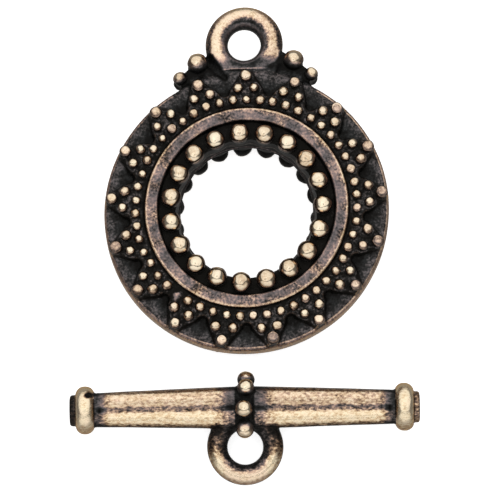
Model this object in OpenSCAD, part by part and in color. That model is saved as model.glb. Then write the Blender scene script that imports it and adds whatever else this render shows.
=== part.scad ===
// Toggle clasp for a necklace or bracelet, in two cast pieces that lie side by side.
// toggle_ring is a beaded ring with an eye. toggle_bar is a four-lobed T-bar with an eye.
// Millimetres. The ring and the bar rest on the plane z = 0, and the bar runs along X.

/* [Ring disc] */
// Diameter of the round disc, without its eye
ring_d = 17; // [15.5:0.1:20]
// Thickness of the disc at its outer edge
edge_t = 1.1; // [0.8:0.05:1.5]
// Width of the bevel that softens the outer edge
edge_bevel = 0.22; // [0.1:0.01:0.3]
// Thickness of the disc where the bevel starts
field_edge_t = 1.45; // [1.2:0.05:1.7]
// Thickness of the disc beside the bezel
field_root_t = 1.9; // [1.6:0.05:2.2]

/* [Opening and bezel] */
// Diameter of the opening that the bar passes through, at its narrow middle
opening_d = 8.06; // [7.4:0.05:8.3]
// How far the opening's wall leans back from the middle to each face
opening_draft = 0.12; // [0:0.01:0.2]
// Inner diameter of the raised bezel
bezel_in_d = 10.5; // [10.2:0.05:11]
// Width of the raised bezel, from its inner to its outer edge
bezel_w = 0.825; // [0.65:0.025:0.95]
// Thickness of the ring across both bezels
bezel_t = 3.5; // [3.1:0.05:4]
// Width of the bevel on the bezel's two corners
bezel_bevel = 0.2; // [0.1:0.01:0.35]
// Thickness of the ring under the rows of large beads
floor_t = 2.6; // [2.3:0.05:2.9]

/* [Large beads] */
// Number of large beads round the opening, on each face
bead_count = 19; // [12:1:20]
// Diameter of a large bead
bead_d = 1.14; // [0.9:0.02:1.3]
// Diameter of the circle through the beads' centres
bead_circle_d = 9.04; // [8.9:0.02:9.2]
// Height of a bead's centre above the floor it sits on
bead_lift = 0.33; // [0.15:0.01:0.45]
// Angle from the eye, clockwise, to the first large bead
bead_turn = 13.5; // [0:0.5:30]

/* [Star] */
// Number of rays round the star
ray_count = 17; // [10:1:18]
// Thickness of the ring across both stars, beside the bezel
star_root_t = 3; // [2.6:0.05:3.2]
// Thickness of the ring across both stars, at the ray tips
star_tip_t = 2.5; // [2.1:0.05:2.8]
// Width of the solid band between the bezel and the notches of the star
star_band_w = 0.9; // [0.7:0.05:1]
// Distance from the ray tips to the disc's edge
ray_edge_gap = 0.12; // [0.05:0.01:0.3]
// Width of a ray at its tip
ray_tip_w = 0.62; // [0.4:0.02:0.8]
// Width of the round end of the notch between two rays
notch_end_w = 0.56; // [0.3:0.02:0.7]

/* [Granules] */
// Diameter of the granules in the inner row, three to a ray
inner_granule_d = 0.5; // [0.4:0.01:0.65]
// Diameter of the granules in the middle row, two to a ray
middle_granule_d = 0.57; // [0.45:0.01:0.7]
// Diameter of the granules at the ray tips
tip_granule_d = 0.65; // [0.5:0.01:0.8]
// Clear gap between the bezel and the inner row
inner_row_gap = 0.25; // [0.1:0.01:0.35]
// Distance from the centre of a tip granule to the disc's edge
tip_row_inset = 0.45; // [0.4:0.01:0.7]
// Distance between the two granules of a middle pair, centre to centre
middle_pair_w = 1; // [0.8:0.02:1.2]
// Height of a granule's centre above the star
granule_lift = 0.13; // [0.02:0.01:0.16]

/* [Ring eye] */
// Diameter of the hole in the ring's eye
ring_eye_hole_d = 1.98; // [1.6:0.02:2.4]
// Diameter of the eye's round wire
ring_eye_wire_d = 1.3; // [1.1:0.02:1.5]
// Distance from the disc's edge to the centre of the eye
ring_eye_stand = 1.75; // [1.5:0.05:1.9]
// Thickness of the foot that joins the eye to the disc
eye_foot_t = 1.44; // [1.35:0.02:1.6]
// Width of the foot where it meets the topmost ray
eye_foot_w = 2.2; // [1.8:0.05:2.8]

/* [Shoulders] */
// Diameter of the larger shoulder bead beside the eye
shoulder_bead_d = 1.2; // [0.9:0.02:1.4]
// Angle of the larger shoulder bead from the eye
shoulder_bead_angle = 17.5; // [16:0.5:20]
// Distance from the disc's edge out to the centre of the larger shoulder bead
shoulder_bead_stand = 1.05; // [0.7:0.05:1.1]
// Diameter of the smaller shoulder bead
shoulder_tip_d = 0.82; // [0.6:0.02:1]
// Angle of the smaller shoulder bead from the eye
shoulder_tip_angle = 25.5; // [24.5:0.5:28]
// Distance from the disc's edge out to the centre of the smaller shoulder bead
shoulder_tip_stand = 0.6; // [0.4:0.05:0.75]
// Thickness of the web under the shoulder beads
shoulder_t = 1; // [0.8:0.05:1.3]
// Height of a shoulder bead's centre above the web
shoulder_lift = 0.12; // [0.05:0.01:0.2]

/* [Bar shaft] */
// Overall length of the bar
bar_l = 20.72; // [18:0.02:24]
// Width across the shaft's lobes at the middle
shaft_mid_w = 2.52; // [2.2:0.02:2.7]
// Width across the shaft's lobes beside the collars
shaft_end_w = 1.96; // [1.7:0.02:2.1]
// Thickness across the shaft's lobes at the middle
shaft_mid_t = 2.28; // [2:0.02:2.4]
// Thickness across the shaft's lobes beside the collars
shaft_end_t = 1.78; // [1.6:0.02:1.9]
// Diameter of one lobe at the middle
lobe_mid_d = 1.32; // [1.24:0.02:1.4]
// Diameter of one lobe beside the collars
lobe_end_d = 1.04; // [0.96:0.02:1.1]

/* [Bar ends] */
// Diameter of the round collars
collar_d = 2.84; // [2.6:0.02:3.2]
// Width of a collar along the bar
collar_w = 1.13; // [0.9:0.01:1.3]
// Diameter of the rounding on a collar's two edges
collar_edge_d = 0.8; // [0.6:0.02:0.88]
// Diameter of the button on each end
button_d = 1.86; // [1.5:0.02:2.1]
// How far a button stands out of its collar
button_out = 0.34; // [0.25:0.01:0.6]
// Width of the bevel round a button's face
button_bevel = 0.16; // [0.05:0.01:0.25]

/* [Bar bead band] */
// Diameter of the band round the middle of the bar
band_d = 2.76; // [2.54:0.02:2.8]
// Width of the band along the bar
band_w = 0.9; // [0.7:0.02:1.1]
// Diameter of a bead on the band
band_bead_d = 1.04; // [0.9:0.02:1.15]
// Distance from the bar's axis to the centre of a band bead
band_bead_reach = 1.74; // [1.6:0.02:1.8]
// Angle between two neighbouring band beads
band_bead_pitch = 45; // [43:1:48]

/* [Bar eye] */
// Diameter of the hole in the bar's eye
bar_eye_hole_d = 2.1; // [1.7:0.02:2.3]
// Diameter of the eye's round wire
bar_eye_wire_d = 1.24; // [1:0.02:1.4]
// Clear distance from the shaft to the hole in the eye
bar_eye_gap = 0.02; // [0.01:0.01:0.2]

/* [Layout] */
// Clear distance between the ring and the topmost bead of the bar
lay_gap = 0.94; // [0.5:0.02:3]
// How far the ring lies to the right of the bar's middle
lay_shift = 0.3; // [0:0.05:1]

/* [Hidden] */
$fn = 48;

// Bright brass where the casting is rubbed, near black where the patina stays
brass = "#cfae7c";
patina = "#2b2623";
copper_tone = "#6d5450";

// Depth that the drill takes off the inside of each eye's wire, which leaves a short true bore
bore_bite = 0.025;
// Small overlap that fuses two neighbouring forms of one casting
fuse = 0.05;
// Depth to which a cutting tool or a pad runs past the face it meets
run_past = 1;

ring_r = ring_d / 2;
opening_r = opening_d / 2;
bezel_in_r = bezel_in_d / 2;
bezel_out_r = bezel_in_r + bezel_w;
bezel_mid_r = (bezel_in_r + bezel_out_r) / 2;
bead_z = floor_t / 2 + bead_lift;

// Star outline
ray_pitch = 360 / ray_count;
star_root_r = bezel_out_r + star_band_w;
ray_tip_r = ring_r - ray_edge_gap;

// Rows of granules
granules_per_ray = 3;
inner_row_r = bezel_out_r + inner_row_gap + inner_granule_d / 2;
tip_row_r = ring_r - tip_row_inset;
middle_row_r = (inner_row_r + tip_row_r) / 2;
middle_pair_half = asin(middle_pair_w / 2 / middle_row_r);

// Ring eye: radius of the wire's centre line, and distance from the ring's centre
ring_eye_r = ring_eye_hole_d / 2 + ring_eye_wire_d / 2 - bore_bite;
ring_eye_y = ring_r + ring_eye_stand;
ring_eye_reach = ring_eye_y + ring_eye_r + ring_eye_wire_d / 2;

// Shoulder beads, as distances from the ring's centre
shoulder_bead_r = ring_r + shoulder_bead_stand;
shoulder_tip_r = ring_r + shoulder_tip_stand;

// Bar, along X
collar_x = bar_l / 2 - button_out - collar_w / 2;
band_bead_first = -1;
band_bead_last = 2;
bar_eye_r = bar_eye_hole_d / 2 + bar_eye_wire_d / 2 - bore_bite;
bar_eye_y = -(shaft_mid_w / 2 + bar_eye_gap + bar_eye_hole_d / 2);
bar_eye_far = bar_eye_r - bar_eye_y;
// The bar rests on its two collars and on the far side of its eye, so it leans by this angle
bar_roll = asin((collar_d - bar_eye_wire_d) / 2 / bar_eye_far);
bar_z = collar_d / 2;
bar_top_y = max(collar_d / 2,
                band_bead_reach * sin(band_bead_last * band_bead_pitch + bar_roll) + band_bead_d / 2,
                band_bead_reach * sin(band_bead_last * band_bead_pitch - bar_roll) + band_bead_d / 2);
bar_foot_y = bar_eye_far * cos(bar_roll) + bar_eye_wire_d / 2;

// Places of the two pieces: the box round both is centred on the origin
ring_z = max(bezel_t / 2, bead_z + bead_d / 2);
span_y = ring_eye_reach + ring_r + lay_gap + bar_top_y + bar_foot_y;
ring_y = span_y / 2 - ring_eye_reach;
bar_y = bar_foot_y - span_y / 2;

// Half thickness of the star at a distance r from the centre
function star_z(r) =
    (star_root_t + (star_tip_t - star_root_t) * (r - bezel_out_r) / (ray_tip_r - bezel_out_r)) / 2;

// Point at distance r and angle a clockwise from the ring's eye
function around(r, a) = [r * sin(a), r * cos(a)];

// Places the children on both faces
module both_faces() {
    children();
    mirror([0, 0, 1]) children();
}

module disc() {
    color(patina)
        rotate_extrude()
            polygon([
                [bezel_mid_r, -field_root_t / 2],
                [bezel_out_r, -field_root_t / 2],
                [ring_r - edge_bevel, -field_edge_t / 2],
                [ring_r, -edge_t / 2],
                [ring_r, edge_t / 2],
                [ring_r - edge_bevel, field_edge_t / 2],
                [bezel_out_r, field_root_t / 2],
                [bezel_mid_r, field_root_t / 2]
            ]);
}

// Wall of the opening, with the two channels that the large beads sit in
module hub() {
    color(patina)
        rotate_extrude()
            polygon([
                [opening_r, 0],
                [opening_r + opening_draft, -floor_t / 2],
                [bezel_mid_r, -floor_t / 2],
                [bezel_mid_r, floor_t / 2],
                [opening_r + opening_draft, floor_t / 2]
            ]);
}

module bezel() {
    color(copper_tone)
        rotate_extrude()
            polygon([
                [bezel_in_r, -bezel_t / 2 + bezel_bevel],
                [bezel_in_r + bezel_bevel, -bezel_t / 2],
                [bezel_out_r - bezel_bevel, -bezel_t / 2],
                [bezel_out_r, -bezel_t / 2 + bezel_bevel],
                [bezel_out_r, bezel_t / 2 - bezel_bevel],
                [bezel_out_r - bezel_bevel, bezel_t / 2],
                [bezel_in_r + bezel_bevel, bezel_t / 2],
                [bezel_in_r, bezel_t / 2 - bezel_bevel]
            ]);
}

// Notch between two rays, open along +Y: a round inner end and two sides that run to the ray tips
module notch_outline() {
    end_y = star_root_r + notch_end_w / 2;
    tip_x = ray_tip_r * sin(ray_pitch / 2) - ray_tip_w / 2 * cos(ray_pitch / 2);
    tip_y = ray_tip_r * cos(ray_pitch / 2) + ray_tip_w / 2 * sin(ray_pitch / 2);
    far_y = ring_r + run_past;
    far_x = notch_end_w / 2 + (tip_x - notch_end_w / 2) * (far_y - end_y) / (tip_y - end_y);
    translate([0, end_y]) circle(d = notch_end_w);
    polygon([
        [-notch_end_w / 2, end_y],
        [notch_end_w / 2, end_y],
        [far_x, far_y],
        [-far_x, far_y]
    ]);
}

module star_outline() {
    difference() {
        circle(r = ray_tip_r);
        circle(r = bezel_mid_r);
        for (i = [0 : ray_count - 1])
            rotate(-(i + 0.5) * ray_pitch) notch_outline();
    }
}

// The star's faces slope down from the bezel to the ray tips
module star() {
    color(patina)
        intersection() {
            translate([0, 0, -star_root_t]) linear_extrude(2 * star_root_t) star_outline();
            rotate_extrude()
                polygon([
                    [bezel_mid_r - fuse, -star_z(bezel_out_r)],
                    [bezel_out_r, -star_z(bezel_out_r)],
                    [ring_r, -star_z(ring_r)],
                    [ring_r, star_z(ring_r)],
                    [bezel_out_r, star_z(bezel_out_r)],
                    [bezel_mid_r - fuse, star_z(bezel_out_r)]
                ]);
        }
}

module granule(d, r, a) {
    color(brass)
        translate([each around(r, a), star_z(r) + granule_lift])
            sphere(d = d);
}

// One ray's cluster: three granules at its foot, two in the middle, one at its tip
module granule_cluster(a) {
    step = ray_pitch / granules_per_ray;
    for (k = [-1 : 1])
        granule(inner_granule_d, inner_row_r, a + k * step);
    for (side = [-1, 1])
        granule(middle_granule_d, middle_row_r, a + side * middle_pair_half);
    granule(tip_granule_d, tip_row_r, a);
}

module granules() {
    for (i = [0 : ray_count - 1])
        granule_cluster(i * ray_pitch);
}

module large_beads() {
    step = 360 / bead_count;
    color(brass)
        for (i = [0 : bead_count - 1])
            translate([each around(bead_circle_d / 2, bead_turn + i * step), bead_z])
                sphere(d = bead_d);
}

// Eye of round wire in the XY plane, with a short true bore through it
module eye(centre_r, wire_d, hole_d) {
    color(brass)
        difference() {
            rotate_extrude()
                translate([centre_r, 0]) circle(d = wire_d);
            cylinder(d = hole_d, h = 2 * wire_d, center = true);
        }
}

// Foot of the eye, which narrows as it runs down over the edge of the disc to the topmost ray
module eye_foot() {
    top_x = ring_eye_r + ring_eye_wire_d / 4;
    top_y = ring_eye_y - ring_eye_hole_d / 2 - ring_eye_wire_d / 3;
    color(patina)
        translate([0, 0, -eye_foot_t / 2])
            linear_extrude(eye_foot_t)
                polygon([
                    [-top_x, top_y],
                    [top_x, top_y],
                    [eye_foot_w / 2, middle_row_r],
                    [-eye_foot_w / 2, middle_row_r]
                ]);
}

module shoulder_web() {
    inner_angle = asin(ring_eye_r / ring_eye_y);
    color(patina)
        translate([0, 0, -shoulder_t / 2])
            linear_extrude(shoulder_t)
                for (side = [-1, 1]) {
                    translate(around(shoulder_bead_r, side * shoulder_bead_angle))
                        circle(d = shoulder_bead_d - 2 * fuse);
                    translate(around(shoulder_tip_r, side * shoulder_tip_angle))
                        circle(d = shoulder_tip_d - 2 * fuse);
                    polygon([
                        around(ring_r - run_past, side * inner_angle),
                        around(ring_eye_y, side * inner_angle),
                        around(shoulder_bead_r, side * shoulder_bead_angle),
                        around(shoulder_tip_r, side * shoulder_tip_angle),
                        around(ring_r - run_past, side * (shoulder_tip_angle + 1))
                    ]);
                }
}

module shoulder_beads() {
    color(brass)
        for (side = [-1, 1]) {
            translate([each around(shoulder_bead_r, side * shoulder_bead_angle), shoulder_t / 2 + shoulder_lift])
                sphere(d = shoulder_bead_d);
            translate([each around(shoulder_tip_r, side * shoulder_tip_angle), shoulder_t / 2 + shoulder_lift])
                sphere(d = shoulder_tip_d);
        }
}

module toggle_ring() {
    translate([lay_shift, ring_y, ring_z])
        union() {
            disc();
            hub();
            bezel();
            star();
            both_faces() {
                large_beads();
                granules();
                shoulder_beads();
            }
            shoulder_web();
            difference() {
                eye_foot();
                translate([0, ring_eye_y, 0])
                    cylinder(d = ring_eye_hole_d, h = 2 * eye_foot_t, center = true);
            }
            translate([0, ring_eye_y, 0]) eye(ring_eye_r, ring_eye_wire_d, ring_eye_hole_d);
        }
}

// Round rod that tapers from r1 at point p to r2 at point q
module rod(p, q, r1, r2) {
    v = q - p;
    translate(p)
        rotate([0, acos(v.z / norm(v)), atan2(v.y, v.x)])
            cylinder(h = norm(v), r1 = r1, r2 = r2);
}

// Half of the shaft, from the middle out to one collar: four lobes round a core
module half_shaft() {
    mid_y = (shaft_mid_w - lobe_mid_d) / 2;
    mid_z = (shaft_mid_t - lobe_mid_d) / 2;
    end_y = (shaft_end_w - lobe_end_d) / 2;
    end_z = (shaft_end_t - lobe_end_d) / 2;
    color(brass) {
        for (sy = [-1, 1], sz = [-1, 1])
            rod([0, sy * mid_y, sz * mid_z], [collar_x, sy * end_y, sz * end_z],
                lobe_mid_d / 2, lobe_end_d / 2);
        rod([0, 0, 0], [collar_x, 0, 0], mid_y, end_y);
    }
}

// Round collar with the button that closes the end of the bar, along +X
module bar_end() {
    edge_r = (collar_d - collar_edge_d) / 2;
    edge_x = (collar_w - collar_edge_d) / 2;
    face_x = collar_w / 2 + button_out;
    color(brass)
        rotate([0, 90, 0])
            rotate_extrude() {
                for (side = [-1, 1])
                    translate([edge_r, side * edge_x]) circle(d = collar_edge_d);
                polygon([
                    [0, -collar_w / 2],
                    [edge_r, -collar_w / 2],
                    [edge_r, -edge_x],
                    [collar_d / 2, -edge_x],
                    [collar_d / 2, edge_x],
                    [edge_r, edge_x],
                    [edge_r, collar_w / 2],
                    [button_d / 2, collar_w / 2],
                    [button_d / 2, face_x - button_bevel],
                    [button_d / 2 - button_bevel, face_x],
                    [0, face_x]
                ]);
            }
}

module bead_band() {
    color(patina)
        rotate([0, 90, 0]) cylinder(d = band_d, h = band_w, center = true);
    color(brass)
        for (i = [band_bead_first : band_bead_last])
            rotate([-i * band_bead_pitch, 0, 0])
                translate([0, 0, band_bead_reach]) sphere(d = band_bead_d);
}

module toggle_bar() {
    translate([0, bar_y, bar_z])
        rotate([bar_roll, 0, 0]) {
            half_shaft();
            mirror([1, 0, 0]) half_shaft();
            translate([collar_x, 0, 0]) bar_end();
            mirror([1, 0, 0]) translate([collar_x, 0, 0]) bar_end();
            difference() {
                bead_band();
                translate([0, bar_eye_y, 0])
                    cylinder(d = bar_eye_hole_d, h = bar_eye_wire_d, center = true);
            }
            translate([0, bar_eye_y, 0]) eye(bar_eye_r, bar_eye_wire_d, bar_eye_hole_d);
        }
}

toggle_ring();
toggle_bar();
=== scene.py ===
"""Looks of a toggle clasp in rubbed antique brass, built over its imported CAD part.

Each casting is one surface. Its forms are distance fields in millimetres, melted into each other
where they meet, as they are in a casting, and sampled as a mesh. The granules and beads are set by
Geometry Nodes on the seats that the surface has for them.
"""

import math
from collections import namedtuple
from functools import partial

import bpy
import numpy as np
from mathutils import Matrix, Vector


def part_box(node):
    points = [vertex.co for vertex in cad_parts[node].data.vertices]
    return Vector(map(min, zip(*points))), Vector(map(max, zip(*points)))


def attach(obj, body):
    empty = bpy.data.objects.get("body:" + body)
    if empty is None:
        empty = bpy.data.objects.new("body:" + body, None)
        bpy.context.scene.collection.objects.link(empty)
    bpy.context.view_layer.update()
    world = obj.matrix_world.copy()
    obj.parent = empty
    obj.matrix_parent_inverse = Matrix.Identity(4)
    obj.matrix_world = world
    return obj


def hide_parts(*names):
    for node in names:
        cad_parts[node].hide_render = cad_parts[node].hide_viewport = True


MM = 0.001
SEED = 7

# Ring, in millimetres, as in the part's source
RING_D = 17.0
EDGE_T, EDGE_BEVEL = 1.1, 0.22
FIELD_EDGE_T, FIELD_ROOT_T = 1.45, 1.9
OPENING_R, OPENING_DRAFT = 4.03, 0.12
BEZEL_IN_R, BEZEL_W, BEZEL_T, BEZEL_BEVEL = 5.25, 0.825, 3.5, 0.2
FLOOR_T = 2.6
BEAD_COUNT, BEAD_D, BEAD_CIRCLE_R, BEAD_LIFT = 19, 1.14, 4.52, 0.33
BEAD_TURN = math.radians(13.5)
RAY_COUNT = 17
STAR_ROOT_T, STAR_TIP_T, STAR_BAND_W = 3.0, 2.5, 0.9
RAY_EDGE_GAP, RAY_TIP_W, NOTCH_END_W = 0.12, 0.62, 0.56
GRANULE_D = (0.5, 0.57, 0.65)
INNER_ROW_GAP, TIP_ROW_INSET, MIDDLE_PAIR_W, GRANULE_LIFT = 0.25, 0.45, 1.0, 0.13
RING_EYE_HOLE_D, RING_EYE_WIRE_D, RING_EYE_STAND = 1.98, 1.3, 1.75
EYE_FOOT_T, EYE_FOOT_W = 1.44, 2.2
SHOULDER_T, SHOULDER_LIFT = 1.0, 0.12
# Each shoulder bead: diameter, angle from the eye, distance out from the disc's edge
SHOULDER_BEADS = ((1.2, 17.5, 1.05), (0.82, 25.5, 0.6))

# Bar, in millimetres, as in the part's source. A pair is for the middle and for beside the collars
BAR_L = 20.72
SHAFT_W, SHAFT_T, LOBE_D = (2.52, 1.96), (2.28, 1.78), (1.32, 1.04)
COLLAR_D, COLLAR_W, COLLAR_EDGE_D = 2.84, 1.13, 0.8
BUTTON_D, BUTTON_OUT, BUTTON_BEVEL = 1.86, 0.34, 0.16
BAND_D, BAND_W = 2.76, 0.9
BAND_BEAD_D, BAND_BEAD_REACH = 1.04, 1.74
BAR_EYE_HOLE_D, BAR_EYE_WIRE_D, BAR_EYE_GAP = 2.1, 1.24, 0.02
BORE_BITE = 0.025

# Derived, as in the part's source
RING_R = RING_D / 2
BEZEL_OUT_R = BEZEL_IN_R + BEZEL_W
BEZEL_MID_R = (BEZEL_IN_R + BEZEL_OUT_R) / 2
BEAD_Z = FLOOR_T / 2 + BEAD_LIFT
RAY_PITCH = 2 * math.pi / RAY_COUNT
BEAD_PITCH = 2 * math.pi / BEAD_COUNT
STAR_ROOT_R = BEZEL_OUT_R + STAR_BAND_W
RAY_TIP_R = RING_R - RAY_EDGE_GAP
INNER_ROW_R = BEZEL_OUT_R + INNER_ROW_GAP + GRANULE_D[0] / 2
TIP_ROW_R = RING_R - TIP_ROW_INSET
MIDDLE_ROW_R = (INNER_ROW_R + TIP_ROW_R) / 2
RING_EYE_R = RING_EYE_HOLE_D / 2 + RING_EYE_WIRE_D / 2 - BORE_BITE
RING_EYE_Y = RING_R + RING_EYE_STAND
COLLAR_X = BAR_L / 2 - BUTTON_OUT - COLLAR_W / 2
BAR_EYE_R = BAR_EYE_HOLE_D / 2 + BAR_EYE_WIRE_D / 2 - BORE_BITE
BAR_EYE_Y = -(SHAFT_W[0] / 2 + BAR_EYE_GAP + BAR_EYE_HOLE_D / 2)
BAR_ROLL = math.asin((COLLAR_D - BAR_EYE_WIRE_D) / 2 / (BAR_EYE_R - BAR_EYE_Y))

# Cell of the sampled surfaces
RING_CELL, BAR_CELL = 0.08, 0.058
MOST_TRIANGLES = 196000
# The ring came out of its mould a little sheared: its right side lies this share of the way further up
RING_SHEAR = 0.022
# The ornament of each face is turned a little clockwise, seen from the front, and the back's is smaller
FRONT_TURN, BACK_TURN = math.radians(0.8), math.radians(2.9)
BACK_SHRINK = 0.98
# The opening's wall: how far each bead's foot swells it, and the radius of the line left by the mould's joint
FOOT_SWELL, JOINT_R = 0.07, 0.09
# The recesses between the rays came out this much wider all round, and the rays widen down to this depth
NOTCH_GROWTH, RAY_DRAFT, RAY_DRAFT_DEPTH = 0.07, 0.15, 0.6
# A granule's seat, as shares of its radius: how far it lies under the granule's centre, and its own radius
SEAT_DROP, SEAT_SHARE = 0.3, 0.6
# How far the seats of the ring's beads and of the band's beads lie inside them
SEAT_INSET, BAND_SEAT_INSET = 0.04, 0.05
# One granule of the front was lost: its ray, clockwise from the eye, its place on the ray, and how far its
# seat and it are sunk
LOST_RAY, LOST_SPOT, LOST_SEAT_SINK, LOST_SINK = 10, 2, 0.25, 0.6
TIP_SPOT = 5
# The granules and the large beads look this much wider than in the part
GRANULE_SPREAD, BEAD_SPREAD = 1.15, 1.06
# The ring's eye came out a little higher, wider and thicker
EYE_RISE, EYE_WIDER, EYE_THICKER = 0.03, 0.015, 0.04
# Where the ring's eye stops over its foot, and how far the foot steps down between two heights
LEDGE_Y, FOOT_STEP, FOOT_STEP_Y = 8.66, 0.13, (8.3, 8.6)
# The groove on the foot's left: its two ends and its radius at each
GROOVE = ((-2.25, 9.3, 0.5), (-1.2, 8.15, 0.72), 0.34, 0.13)
# The bar is bent up a little in its middle, and its right end lies lower
BAR_BOW, BAR_SLANT = 0.07, 0.004
# Beads of the band: angle up from the front, distance to the right, distance out, how far down it is polished
BAND_BEADS = ((-45, 0.0, 0.0, 0.2), (0, -0.04, 0.0, 0.2), (45, 0.08, 0.0, 0.2), (90, 0.1, -0.1, 0.4))
# The shoulder beads lie this far to the right
SHOULDER_SHIFT = 0.066
# A nick in the left collar: its middle and its half sizes
NICK, NICK_SIZE = (-9.2, 0.92, 1.08), (0.22, 0.07, 0.12)
# Half the angle that the eye and its shoulders take up of the ring's edge
EYE_SPAN = math.radians(31)

# Grain and blotches of the film, and pits of the cast skin and their depth, in millimetres
GRAIN, BLOTCH, PIT, PIT_DEPTH = 0.14, 0.6, 0.2, 0.035
# Colours of the film as it is rubbed away, from untouched to bare: copper-brown, and violet-grey where thick
BROWN_FILM = ((0.05, "#0b0a08"), (0.22, "#262220"), (0.38, "#4c3e34"), (0.5, "#745e4c"),
              (0.64, "#a6876b"), (0.8, "#dcbf99"), (1.0, "#fae8c6"))
VIOLET_FILM = ((0.05, "#0e0e0e"), (0.22, "#303131"), (0.38, "#686262"), (0.5, "#857674"),
               (0.64, "#b2968a"), (0.8, "#dcbba4"), (1.0, "#f8dcc2"))
# The dish worn into a bead's crown, as heights on a ball of radius 1: where it starts and where it is full
DISH_RIM, DISH_FULL = 0.66, 0.76
# The height over which wear takes the crown down, and how many times that height it takes
CAP_HEIGHT, CAP_LOSS = 0.65, 1.8

# Sizes that the beads' nodes take, unless a set of beads has its own
BEAD_SIZES = {"Size spread": 0.03, "Lump height": 0.0, "Lump length": 1.0,
              "Side shade share": 1.0, "Lower shade share": 0.0}

# A bead's place and axis. The polishing reached down to foot along the axis, where 1 is the crown and 0 the
# widest place. A bead that is worn 1 has lost its crown to a shallow dish, and one that is worn 0 is whole.
Bead = namedtuple("Bead", "x y z axis radius foot worn")

# Camera, with its aim and distance in millimetres
CAMERA_TILT, CAMERA_ROLL = math.radians(78.5), math.radians(-0.9)
CAMERA_AIM, CAMERA_AWAY, CAMERA_LENS = (0.46, -0.43, 2.2), 275, 332.9
# Height of the tent's round panel, from the front over the top
PANEL_TILT = math.radians(116.5)

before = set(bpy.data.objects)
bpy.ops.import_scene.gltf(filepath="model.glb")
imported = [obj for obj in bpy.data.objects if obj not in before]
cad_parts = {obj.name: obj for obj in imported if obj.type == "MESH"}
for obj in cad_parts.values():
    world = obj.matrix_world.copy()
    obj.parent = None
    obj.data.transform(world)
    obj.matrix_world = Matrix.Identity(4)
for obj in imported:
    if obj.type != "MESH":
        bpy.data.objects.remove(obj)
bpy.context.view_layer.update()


# Distance fields, in millimetres

def melt(a, b, fillet):
    """Union of two forms, with a fillet about that wide where they meet."""
    share = np.clip(0.5 + 0.5 * (b - a) / fillet, 0, 1)
    return b + (a - b) * share - fillet * share * (1 - share)


def trim(a, b, edge):
    """What two forms share, with its edges rounded about that wide."""
    return -melt(-a, -b, edge)


def smooth(lo, hi, value):
    """From 0 to 1 as value goes from lo to hi, with soft ends."""
    t = np.clip((value - lo) / (hi - lo), 0, 1)
    return t * t * (3 - 2 * t)


def capped(u, v, half_u, half_v, corner):
    """Rectangle of those half sizes round (0, 0) with round corners."""
    qu = np.abs(u) - half_u + corner
    qv = np.abs(v) - half_v + corner
    return np.hypot(np.maximum(qu, 0), np.maximum(qv, 0)) + np.minimum(np.maximum(qu, qv), 0) - corner


def side_of(u, v, p, q):
    """Distance from the line p to q, positive on its left."""
    du, dv = q[0] - p[0], q[1] - p[1]
    return ((v - p[1]) * du - (u - p[0]) * dv) / math.hypot(du, dv)


def polygon(u, v, points):
    """Distance from a closed outline whose corners are given counterclockwise, negative inside."""
    nearest = np.full(np.shape(u), np.inf, u.dtype)
    inside = np.zeros(np.shape(u), bool)
    for p, q in zip(points, points[1:] + points[:1]):
        du, dv = q[0] - p[0], q[1] - p[1]
        t = np.clip(((u - p[0]) * du + (v - p[1]) * dv) / (du * du + dv * dv), 0, 1)
        nearest = np.minimum(nearest, (u - p[0] - t * du) ** 2 + (v - p[1] - t * dv) ** 2)
        crosses = (p[1] > v) != (q[1] > v)
        if dv:
            inside ^= crosses & (u < p[0] + (v - p[1]) * du / dv)
    return np.where(inside, -1, 1) * np.sqrt(nearest)


def ball(x, y, z, at, radius):
    return np.sqrt((x - at[0]) ** 2 + (y - at[1]) ** 2 + (z - at[2]) ** 2) - radius


def loop(x, y, z, radius, wire_r):
    """Round wire bent into a ring in the XY plane."""
    return np.hypot(np.hypot(x, y) - radius, z) - wire_r


def spike(x, y, z, p, q, p_radius, q_radius):
    """Straight round rod between p and q that tapers from one radius to the other."""
    d = np.subtract(q, p)
    t = np.clip(((x - p[0]) * d[0] + (y - p[1]) * d[1] + (z - p[2]) * d[2]) / (d @ d), 0, 1).astype(x.dtype)
    away = np.sqrt((x - p[0] - t * d[0]) ** 2 + (y - p[1] - t * d[1]) ** 2 + (z - p[2] - t * d[2]) ** 2)
    return away - p_radius - t * (q_radius - p_radius)


def around(r, a):
    """Point at distance r and angle a clockwise from the ring's eye."""
    return r * math.sin(a), r * math.cos(a)


def wobble(x, y, z, length, seed):
    """Smooth unevenness from -1 to 1, with waves of about that length."""
    rng = np.random.default_rng(seed)
    waves = 6
    total = 0
    for _ in range(waves):
        k = rng.normal(size=3)
        k *= 2 * math.pi / length / np.linalg.norm(k) * rng.uniform(0.6, 1.5)
        total = total + np.sin(x * k[0] + y * k[1] + z * k[2] + rng.uniform(0, 6.28))
    return total / waves


def star_top(r):
    """Height of the star's face, which slopes down to the ray tips."""
    return (STAR_ROOT_T + (STAR_TIP_T - STAR_ROOT_T) * (r - BEZEL_OUT_R) / (RAY_TIP_R - BEZEL_OUT_R)) / 2


def disc(r, z):
    """Disc under the star, with a sloping face and a bevelled edge."""
    face_end = (RING_R - EDGE_BEVEL, FIELD_EDGE_T / 2)
    slope = side_of(r, z, face_end, (BEZEL_OUT_R, FIELD_ROOT_T / 2))
    bevel = side_of(r, z, (RING_R, EDGE_T / 2), face_end)
    face = trim(-slope, -bevel, edge=0.06)
    return np.maximum(trim(face, r - RING_R, edge=0.12), BEZEL_MID_R - r)


def bead_wave(a):
    """From 1 at each large bead to -1 midway between two."""
    return np.cos(BEAD_COUNT * (a - BEAD_TURN))


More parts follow.
